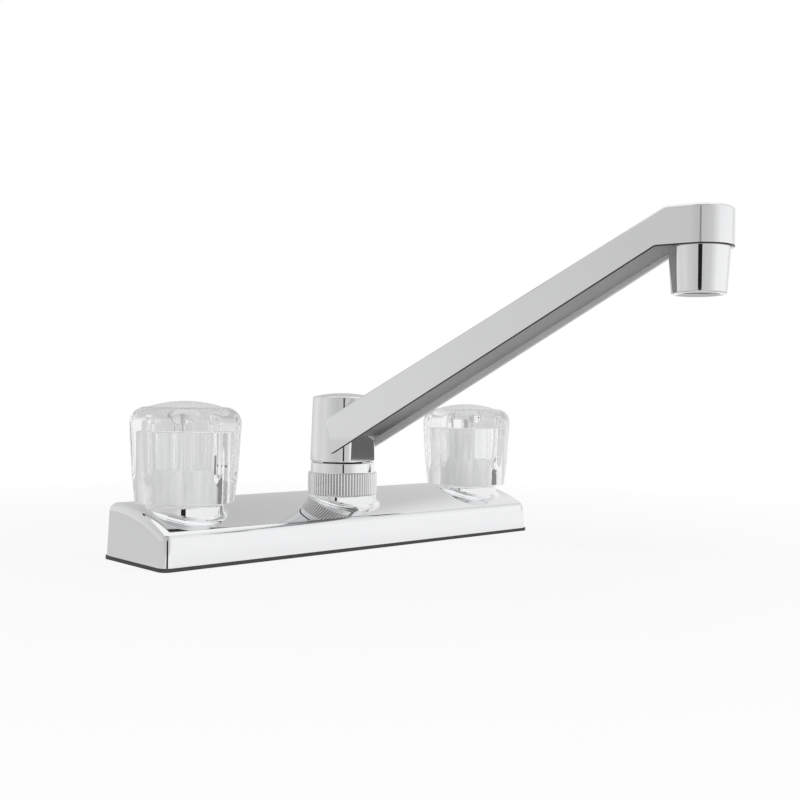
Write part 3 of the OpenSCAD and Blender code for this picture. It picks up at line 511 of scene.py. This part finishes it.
def make_cover():
    """Wall, fillet, deck and bosses as one skin, with a skin inside it and lips along open edges."""
    edge, edge_facing, rim, plan = cover_edge()
    front = plan[:, 1] < MID_Y
    seam = np.abs(np.abs(plan[:, 0]) - SEAM_X) < 1e-6
    low = rim[seam & front][0, 1]
    high = rim[seam & ~front][0, 1]
    share = np.sin(np.linspace(-np.pi / 2, np.pi / 2, 34)) / 2 + 0.5
    y = low + (high - low) * share[1:-1]
    skins = [(edge, edge_facing)]
    for x0, hole in ((-HANDLES, 11.05), (0, 15.55), (HANDLES, 11.05)):
        x = plan[:, 0]
        own = [rim[np.abs(x) <= SEAM_X + 1e-6] if x0 == 0 else rim[x * x0 >= SEAM_X * abs(x0) - 1e-3]]
        for s in (-SEAM_X, SEAM_X):
            if abs(s - x0) < SEAM_X + 1:
                own.append(np.stack([0 * y + s, y, deck_height(y)], -1))
        cell = np.concatenate(own)
        order = np.argsort(np.arctan2(cell[:, 1], cell[:, 0] - x0))
        skins.append(deck_cell(x0, hole, cell[order]))
    sheet = 0.7
    inside = [(skin - sheet * facing, -facing) for skin, facing in skins]
    lips = [(np.stack([a[0][0], b[0][0]]), np.stack([a[1][0], b[1][0]])) for a, b in zip(skins, inside)]
    grids, facing = zip(*(skins + inside + lips))
    facing = np.concatenate([part.reshape(-1, 3) for part in facing])
    grids = [(grid, True) for grid in grids]
    piece("cover_skin", grids, "deck_assembly", chrome, ["deck_cover"], facing)


make_cover()


# Spout nut

RIBS, RIB_PHASE, RIB_DEPTH = 74, 0.4, 0.85
BAND_R, BAND_TOP = 19.4, 40.2


def make_spout_nut():
    """A turned nut whose band is ribbed: r = profile - depth * (soft square wave of the ribs)."""
    bore, lip, neck_top = 15.55, 11.6, 45.65
    outside = [(bore, DECK_TOP), (BAND_R, DECK_TOP), (BAND_R, BAND_TOP)]
    outside += [(18.1, BAND_TOP), (17.8, neck_top)]
    inside = [(lip, neck_top), (lip, 43.5), (bore, 43.5), (bore, DECK_TOP)]
    line = rounded(outside + inside, [0, 0.45, 0.45, 0.25, 0.5, 0, 0, 0, 0])
    points_per_rib, crispness = 12, 2.6
    a = np.linspace(0, 2 * np.pi, RIBS * points_per_rib, endpoint=False)
    wave = 0.5 + 0.5 * np.tanh(crispness * np.cos(RIBS * a + RIB_PHASE))
    band = np.clip((line[:, 0] - 18.9) / 0.45, 0, 1) * (line[:, 1] < BAND_TOP + 0.1)
    r = line[:, 0][:, None] - RIB_DEPTH * band[:, None] * (1 - wave[None])
    grid = np.stack([r * np.cos(a), r * np.sin(a), line[:, 1][:, None] + 0 * a], -1)
    low, high = np.argmax(line[:, 1] > DECK_TOP + 0.3), np.argmax(line[:, 1] > BAND_TOP - 0.3)
    grids = [(grid[: low + 1], True), (grid[low : high + 1], True), (grid[high:], True)]
    # painted shade in the ribs' valleys: grey 0.42 there against 0.86 on the crests
    ribs = ribbed("ribbed_chrome_painted_valleys", RIBS, RIB_PHASE, 0.42, 0.86)
    replaced, others = ["spout_nut"], [(ribs, [1])]
    piece("spout_nut_skin", grids, "deck_assembly", chrome, replaced, others=others)


make_spout_nut()


# Spout

HUB_Z, HUB_RIM = 46.25, 82.45
TIP_LOW, TIP_TOP = 152.0, 170.2
LOW_A, LOW_B = (0.0, 47.75), (184.0, TIP_LOW)
TOP_A, TOP_B = (0.0, 69.85), (189.0, TIP_TOP)
REACH, ROOT_HALF, TIP_HALF = 200.0, 17.6, 15.5


def arm_low(x):
    """Lower edge of the arm's walls: a straight rise that bends level under the tip."""
    line = LOW_A[1] + (LOW_B[1] - LOW_A[1]) * x / LOW_B[0]
    return soft_min(line, TIP_LOW + 0 * x, 0.5)


def arm_top(x):
    """Top of the arm: a straight rise that bends level before the tip."""
    line = TOP_A[1] + (TOP_B[1] - TOP_A[1]) * x / TOP_B[0]
    return soft_min(line, TIP_TOP + 0 * x, 0.7)


def arm_plan():
    """The arm's plan, wall, round end, other wall: points, outward normals and the spine's x."""
    x = np.concatenate([[1.0], np.linspace(4, 180, 60), np.linspace(182, 199.9, 26)])
    w = ROOT_HALF + (TIP_HALF - ROOT_HALF) * x / REACH
    a = np.linspace(-np.pi / 2, np.pi / 2, 65)
    px = np.concatenate([x, REACH + TIP_HALF * np.cos(a), x[::-1]])
    py = np.concatenate([-w, TIP_HALF * np.sin(a), w[::-1]])
    nx = np.concatenate([0 * x, np.cos(a), 0 * x])
    ny = np.concatenate([0 * x - 1, np.sin(a), 0 * x + 1])
    sx = np.concatenate([x, 0 * a + REACH, x[::-1]])
    return px, py, nx, ny, sx


def arm_sheet(inset, fillet, floor):
    """Half a section carried along the plan at an inset: wall, top fillet, and the top to the spine."""
    px, py, nx, ny, sx = arm_plan()
    px, py = px - inset * nx, py - inset * ny
    slope = (TIP_TOP - TOP_A[1]) / TOP_B[0]
    lift = inset * np.sqrt(1 + slope**2)
    r = max(fillet - inset, 0.05)
    foot = arm_low(px) + floor
    shoulder = arm_top(px) - lift - r
    rows = []
    for t in (0, 0.02, 0.12, 0.3, 0.5, 0.7, 0.88, 0.97, 0.995):
        rows.append(np.stack([px, py, foot * (1 - t) + shoulder * t], -1))
    for f in np.linspace(0, np.pi / 2, 8):
        x = px - nx * r * (1 - np.cos(f))
        y = py - ny * r * (1 - np.cos(f))
        rows.append(np.stack([x, y, arm_top(x) - lift - r * (1 - np.sin(f))], -1))
    edge = rows[-1]
    spine = np.stack([sx, 0 * sx, 0 * sx], -1)
    for t in (0.015, 0.06, 0.2, 0.4, 0.6, 0.8, 1.0):
        row = edge * (1 - t) + spine * t
        row[:, 2] = arm_top(row[:, 0]) - lift
        rows.append(row)
    return np.stack(rows)


def make_spout():
    """Arm: outer and inner sheets joined by a round lip along the walls' feet. Hub: a tapered drum."""
    wall, lip_h, top_fillet = 1.4, 0.65, 1.5
    outer = arm_sheet(0.0, top_fillet, lip_h)
    inner = arm_sheet(wall, top_fillet, lip_h)
    foot_out, foot_in = outer[0], inner[0]
    mid, half = (foot_out + foot_in) / 2, (foot_out - foot_in) / 2
    down = np.array([0, 0, -lip_h])
    lip = np.stack([mid + half * np.cos(a) + down * np.sin(a) for a in np.linspace(0, np.pi, 11)])
    lip_out, lip_in = lip[:6], lip[5:]
    ends = [np.stack([outer[:, k], inner[:, k]], 1) for k in (0, -1)]
    grids = [(along_arm(grid), False) for grid in (outer, inner, lip_out, lip_in, *ends)]
    foot_r, rim, edge, dome_h, flat_top = 18.3, 17.2, 1.0, 2.0, 65.0
    dome_r = ((rim - edge) ** 2 + dome_h**2) / (2 * dome_h)
    r = np.linspace(0, 16.0, 12)
    dome = np.stack([r, HUB_RIM + dome_h - dome_r + np.sqrt(dome_r**2 - r**2)], -1)[::-1]
    line = rounded([(0, HUB_Z), (foot_r, HUB_Z), (rim, HUB_RIM), (0, HUB_RIM)], [0, 0.6, edge, 0])
    line = np.concatenate([line[: np.argmax(line[:, 1] > HUB_RIM - 1e-6)], dome])
    low = line[:, 1] < 60
    at = np.argmax(line[:, 0] == line[low][-1, 0])
    heights = flat_top + np.array([-15, -10, -5, -1, -0.2, -0.05, 0, 0.1, 0.3, 1, 5, 11])
    extra = np.stack([0 * heights, heights], -1)
    extra[:, 0] = foot_r + (rim - foot_r) * (extra[:, 1] - HUB_Z) / (HUB_RIM - HUB_Z)
    line = np.concatenate([line[: at + 1], extra, line[at + 1 :]])
    a = np.linspace(-np.pi, np.pi, 256, endpoint=False)
    flat = 13.7 / np.maximum(np.cos(a), 0.05)
    radius = line[:, 0][:, None] + 0 * a
    cut = np.where(line[:, 1][:, None] < flat_top - 0.03, soft_min(radius, flat[None], 0.5), radius)
    cut = np.minimum(cut, radius)
    hub = along_arm(np.stack([cut * np.cos(a), cut * np.sin(a), line[:, 1][:, None] + 0 * a], -1))
    foot = np.argmax(line[:, 1] > HUB_Z + 0.05)
    grids += [(hub[: foot + 1], True), (hub[foot:], True)]
    # the hub's underside (grid 6) wears painted shade
    # the outer half of the lip (grid 2) wears a painted dark reflection
    others = [(cast_wall, [1]), (lip_painted_reflection, [2]), (shadowed, [6])]
    piece("spout_skin", grids, "spout", chrome, ["spout_shell"], others=others)


make_spout()


# Aerator

TIP_X, TIP_Y = REACH * np.cos(TURN), REACH * np.sin(TURN)


def make_aerator():
    """A turned, slightly tapered housing with small rounded edges and a stepped mouth."""
    top, mouth, seat, ledge = 152.7, 130.9, 142, 2.6
    thread, bore, jet = 11.95, 10.55, 9.6
    outside = [(jet, mouth), (12.5, mouth), (14.0, top), (thread, top)]
    inside = [(thread, seat), (bore, seat), (bore, mouth + ledge), (jet, mouth + ledge), (jet, mouth)]
    line = rounded(outside + inside, [0, 0.6, 0.5, 0, 0, 0, 0, 0, 0])
    grids = [turned(line, TIP_X, TIP_Y, 160)]
    piece("aerator_skin", grids, "spout", chrome, ["aerator_housing"])


make_aerator()


# Knobs

KNOB_Z, KNOB_TOP = 29.0, 79.0
CAP_RIM = 76.0
FLUTES = 10
SHOULDER_R = 8.2
SHOULDER_Z = CAP_RIM - SHOULDER_R


def knob_radius(z, a):
    """Outside of a knob: profile radius, less ten round flutes rounded in where they meet the lobes."""
    foot_r, waist_r, top_r, waist = 24.2, 26.0, 27.3, 45.0
    lean = (top_r - waist_r) / (SHOULDER_Z - waist)
    below = foot_r + (waist_r - foot_r) * (z - KNOB_Z) / (waist - KNOB_Z)
    r = np.where(z < waist, below, waist_r + lean * (z - waist))
    up = np.clip(z - SHOULDER_Z, 0, SHOULDER_R)
    r = np.where(z > SHOULDER_Z, top_r - SHOULDER_R + np.sqrt(np.maximum(SHOULDER_R**2 - up**2, 0)), r)
    step = 2 * np.pi / FLUTES
    off = (a + step / 2) % step - step / 2
    radius, depth, start, nowhere = 6.0, 1.5, waist - 1.1, 99.0
    reach = waist_r - depth + radius + lean * (z - waist)
    low = np.clip(start - z, 0, radius)
    ball = np.sqrt(np.maximum(radius**2 - low**2, 1e-6))
    across = reach * np.sin(off)
    cut = reach * np.cos(off) - np.sqrt(np.maximum(ball**2 - across**2, 1e-6))
    cut = np.where(np.abs(across) < ball, cut, nowhere)
    cut = np.where(z < start - radius, nowhere, cut)
    return soft_min(r, cut, 0.9)


def make_knob(side, x0, body):
    """Closed clear body: fluted outside, round hollow, screw hole and the recess for the cap."""
    rim = rounded([(19.0, KNOB_Z), (24.2, KNOB_Z), (24.5, KNOB_Z + 3)], [0, 0.6, 0])[:-1]
    runs = ((30.0, 43, 8), (43.6, 50, 14), (51, 66.5, 12))
    sides = np.concatenate([np.linspace(*run) for run in runs])
    f = np.linspace(0, np.pi / 2, 16)
    shoulder = SHOULDER_Z + SHOULDER_R * np.sin(f)
    zs = np.concatenate([sides, shoulder])
    a = np.linspace(0, 2 * np.pi, 360, endpoint=False)
    spin = np.pi / FLUTES
    outside = knob_radius(zs[:, None], a[None] - spin)
    outside[-1] = np.minimum(outside[-1], 19.1)
    grid_out = np.stack([outside * np.cos(a), outside * np.sin(a), zs[:, None] + 0 * a], -1)
    recess = [(19.1, CAP_RIM), (18.55, CAP_RIM), (18.55, 74.5), (9.0, 74.5), (9.0, 68), (1.9, 68)]
    room = [(1.9, 64.6), (16, 64.6), (16, KNOB_Z), (19.0, KNOB_Z)]
    inner = rounded(recess + room, [0, 0.15, 0, 0.3, 0.3, 0.2, 0.2, 0.8, 0.3, 0], steps=5)
    foot, _ = turned(rim, steps=360)
    hollow, _ = turned(inner, steps=360)
    hollow[0] = grid_out[-1]
    grid = np.concatenate([foot, grid_out, hollow[1:]])
    grid[..., 0] += x0
    knob = piece(side + "_knob_clear", [(grid, True)], body, acrylic, [side + "_knob"])
    knob.visible_glossy = False


def make_cap(side, x0, body):
    """Domed lens cap: a shallow sphere over a thin edge, with its snap ring below."""
    dome = (18.5**2 + 3.0**2) / 6.0
    r = np.linspace(0, 18.2, 26)
    top = np.stack([r, KNOB_TOP - dome + np.sqrt(dome**2 - r**2)], -1)
    under = rounded(
        [(18.45, CAP_RIM), (18.5, 74.5), (8.9, 74.5), (8.9, 72.5), (7.3, 72.5), (7.3, 74.5), (0, 74.5)],
        [0, 0.15, 0.2, 0.2, 0.2, 0.2, 0],
        steps=4,
    )
    grid = turned(np.concatenate([top, under]), x0, 0, 160)
    cap = piece(side + "_cap_lens", [grid], body, lens, [side + "_index_cap"])
    cap.visible_glossy = False


for side, x0 in (("hot", -HANDLES), ("cold", HANDLES)):
    make_knob(side, x0, side + "_handle")
    make_cap(side, x0, side + "_handle")
    for name in ("knob_insert", "handle_screw", "stem", "stem_o_ring", "bonnet", "valve_body"):
        frame["nodes"][side + "_" + name].visible_glossy = False
frame["nodes"]["cover_nuts"].visible_glossy = False


# Studio


def place_camera():
    """The camera stands left of and in front of the faucet, almost level with the knobs."""
    heading, pitch, roll = 0.7534, 0.0019, 0.0135
    ahead = Vector((np.sin(heading) * np.cos(pitch), np.cos(heading) * np.cos(pitch), np.sin(pitch)))
    right = Vector((np.cos(heading), -np.sin(heading), 0))
    up = right.cross(ahead)
    x = np.cos(roll) * right + np.sin(roll) * up
    y = -np.sin(roll) * right + np.cos(roll) * up
    data = bpy.data.cameras.new("camera")
    data.sensor_width = 36.0
    data.lens = 36.0 * 1012.27 / 800
    data.clip_start, data.clip_end = 0.02, 60.0
    camera = bpy.data.objects.new("camera", data)
    bpy.context.scene.collection.objects.link(camera)
    turn = Matrix((x, y, -ahead)).transposed().to_4x4()
    camera.matrix_world = Matrix.Translation((-0.36784, -0.43873, 0.07989)) @ turn
    bpy.context.scene.camera = camera


SEEN = ("Is Camera Ray", "Is Glossy Ray", "Is Transmission Ray")


def studio_world():
    """White to the camera, to gloss and through glass; plain even light for everything else."""
    world = bpy.data.worlds.new("studio")
    bpy.context.scene.world = world
    world.use_nodes = True
    nodes, links = world.node_tree.nodes, world.node_tree.links
    nodes.clear()
    mix = nodes.new("ShaderNodeMixShader")
    links.new(seen_by(nodes, links, *SEEN), mix.inputs["Fac"])
    for place, strength in ((1, 0.5), (2, 1.0)):
        sky = nodes.new("ShaderNodeBackground")
        sky.inputs["Color"].default_value = (1, 1, 1, 1)
        sky.inputs["Strength"].default_value = strength
        links.new(sky.outputs[0], mix.inputs[place])
    out = nodes.new("ShaderNodeOutputWorld")
    links.new(mix.outputs[0], out.inputs["Surface"])


def stage_sheet(name, points, faces, material):
    mesh = bpy.data.meshes.new(name)
    mesh.from_pydata(np.asarray(points, float).tolist(), [], np.asarray(faces).tolist())
    mesh.materials.append(material)
    obj = bpy.data.objects.new(name, mesh)
    bpy.context.scene.collection.objects.link(obj)
    return obj


def studio_floor():
    """A pale sheet that keeps the shadow, white to the camera, greyer to gloss at the back left."""
    material, nodes, links, shade = shader("pale_floor")
    noise = speckle(nodes, links, 6.0)
    tint(nodes, links, noise, (0.86, 0.86, 0.86), (0.9, 0.9, 0.9), shade.inputs["Base Color"])
    shade.inputs["Roughness"].default_value = 0.9
    shade.inputs["Specular IOR Level"].default_value = 0.1
    where = nodes.new("ShaderNodeTexCoord")
    along = vector_step(nodes, links, where.outputs["Object"], "DOT_PRODUCT", (2.14, -2.55, 0), "Value")
    shift = nodes.new("ShaderNodeMath")
    shift.inputs[1].default_value = 0.5
    links.new(along, shift.inputs[0])
    tone = stepped_tone(nodes, links, shift.outputs[0], [(0.1, 0.64), (0.62, 0.97)])
    graze = nodes.new("ShaderNodeLayerWeight")
    graze.inputs["Blend"].default_value = 0.5
    steep = stepped_tone(nodes, links, graze.outputs["Facing"], [(0.3, 0.5), (0.74, 0.58), (0.87, 1.0)])
    slick = nodes.new("ShaderNodeMix")
    slick.data_type, slick.blend_type = "RGBA", "MULTIPLY"
    slick.inputs[0].default_value = 1.0
    links.new(tone, slick.inputs[6])
    links.new(steep, slick.inputs[7])
    white = nodes.new("ShaderNodeMix")
    white.data_type = "RGBA"
    white.inputs[7].default_value = (1, 1, 1, 1)
    links.new(seen_by(nodes, links, "Is Camera Ray"), white.inputs[0])
    links.new(slick.outputs[2], white.inputs[6])
    glow = nodes.new("ShaderNodeEmission")
    links.new(white.outputs[2], glow.inputs["Color"])
    away = vector_step(nodes, links, where.outputs["Object"], "LENGTH", output="Value")
    share = nodes.new("ShaderNodeMath")
    share.operation = "MULTIPLY"
    links.new(ranged(nodes, links, away, 0.16, 0.5, 0.84), share.inputs[1])
    links.new(seen_by(nodes, links, *SEEN), share.inputs[0])
    mix = nodes.new("ShaderNodeMixShader")
    links.new(share.outputs[0], mix.inputs["Fac"])
    links.new(shade.outputs[0], mix.inputs[1])
    links.new(glow.outputs[0], mix.inputs[2])
    links.new(mix.outputs[0], nodes["Material Output"].inputs["Surface"])
    half, level = 9.0, -0.00005
    corners = [(-half, -half, level), (half, -half, level), (half, half, level), (-half, half, level)]
    stage_sheet("floor", corners, [(0, 1, 2, 3)], material)


def studio_wall():
    """A round wall of soft panels for gloss and glass only: its grey is a ramp round the compass."""
    material = bpy.data.materials.new("panel_wall")
    material.use_nodes = True
    nodes, links = material.node_tree.nodes, material.node_tree.links
    nodes.clear()
    where = nodes.new("ShaderNodeTexCoord")
    round_it = nodes.new("ShaderNodeTexGradient")
    round_it.gradient_type = "RADIAL"
    links.new(where.outputs["Object"], round_it.inputs["Vector"])
    compass = [(-180, 0.64), (-152, 0.56), (-126, 0.6), (-104, 0.66), (-78, 0.95), (-34, 1.0)]
    compass += [(-14, 0.8), (4, 1.0), (26, 0.95), (36, 0.68), (60, 0.58), (84, 0.72)]
    compass += [(112, 0.82), (140, 0.7), (158, 0.74), (180, 0.645)]
    panels = [(0.5 + a / 360, grey) for a, grey in compass]
    tone = stepped_tone(nodes, links, round_it.outputs["Fac"], panels)
    height_of = nodes.new("ShaderNodeSeparateXYZ")
    links.new(where.outputs["Object"], height_of.inputs[0])
    glow = nodes.new("ShaderNodeEmission")
    links.new(tone, glow.inputs["Color"])
    fading = ranged(nodes, links, height_of.outputs["Z"], 0.1, 1.4, 1.0, 0.86)
    links.new(fading, glow.inputs["Strength"])
    out = nodes.new("ShaderNodeOutputMaterial")
    links.new(glow.outputs[0], out.inputs["Surface"])
    radius, height, steps = 1.6, 2.2, 72
    a = np.arange(steps) * 2 * np.pi / steps
    ring = np.stack([radius * np.cos(a), radius * np.sin(a), 0 * a], -1)
    top = ring + [0, 0, height]
    k = np.arange(steps)
    faces = np.stack([k, (k + 1) % steps, (k + 1) % steps + steps, k + steps], -1)
    wall = stage_sheet("panel_wall", np.concatenate([ring, top]), faces, material)
    for_gloss_only(wall)


def for_gloss_only(obj):
    obj.visible_camera = False
    obj.visible_diffuse = False
    obj.visible_shadow = False


def card(name, grey, points, faces):
    """A plain grey card that only gloss and glass see."""
    material = bpy.data.materials.new(name)
    material.use_nodes = True
    nodes, links = material.node_tree.nodes, material.node_tree.links
    nodes.clear()
    glow = nodes.new("ShaderNodeEmission")
    glow.inputs["Color"].default_value = (grey, grey, grey, 1)
    out = nodes.new("ShaderNodeOutputMaterial")
    links.new(glow.outputs[0], out.inputs["Surface"])
    for_gloss_only(stage_sheet(name, points, faces, material))


def dark_cards():
    """What a bright studio leaves dark: a lintel over the back panels, a hood, stand, peg and box."""
    k = np.arange(22)
    faces = np.stack([k, k + 1, k + 24, k + 23], -1)
    for name, grey, radius, start, end, low, high in (
        ("lintel", 0.02, 1.5, -5, 105, 1.6, 1.72),
        ("hood", 0.28, 1.2, -165, -100, 1.5, 2.3),
    ):
        a = np.radians(np.linspace(start, end, 23))
        ring = np.stack([radius * np.cos(a), radius * np.sin(a)], -1)
        points = np.concatenate([np.column_stack([ring, 0 * a + z]) for z in (low, high)])
        card(name, grey, points, faces)
    beside = np.array([np.cos(np.radians(-38)), np.sin(np.radians(-38))])
    ahead = np.array([0.36, 0.93])
    for name, grey, side, centre, width, low, high in (
        ("stand", 0.015, beside, (-0.345, -0.445), 0.05, 0.01, 0.118),
        ("stand_neck", 0.015, beside, (-0.345, -0.445), 0.13, 0.118, 0.17),
        ("peg", 0.02, beside, (-0.169, -0.096), 0.026, 0.0, 0.018),
        ("stand_head", 0.28, beside, (-0.345, -0.445), 0.05, 0.2, 0.33),
        ("low_box", 0.13, ahead, (0.75, -0.3), 0.34, 0.0, 0.038),
    ):
        left, right = np.array(centre) - side * width / 2, np.array(centre) + side * width / 2
        corners = [(*left, low), (*right, low), (*right, high), (*left, high)]
        card(name, grey, corners, [(0, 1, 2, 3)])


def lamp(name, place, aim, size, power):
    data = bpy.data.lights.new(name, "AREA")
    data.shape = "RECTANGLE"
    data.size, data.size_y = size
    data.energy = power
    obj = bpy.data.objects.new(name, data)
    bpy.context.scene.collection.objects.link(obj)
    obj.visible_glossy = False
    obj.location = place
    obj.rotation_euler = (Vector(aim) - Vector(place)).to_track_quat("-Z", "Y").to_euler()
    return obj


place_camera()
studio_world()
studio_floor()
studio_wall()
dark_cards()
lamp("key", (-0.9, -0.7, 1.5), (0, 0, 0.05), (1.0, 0.7), 9)
lamp("fill", (0.95, -1.2, 1.05), (0, 0, 0.03), (1.0, 0.9), 5)
bpy.context.scene.view_settings.view_transform = "Standard"

bpy.context.view_layer.update()
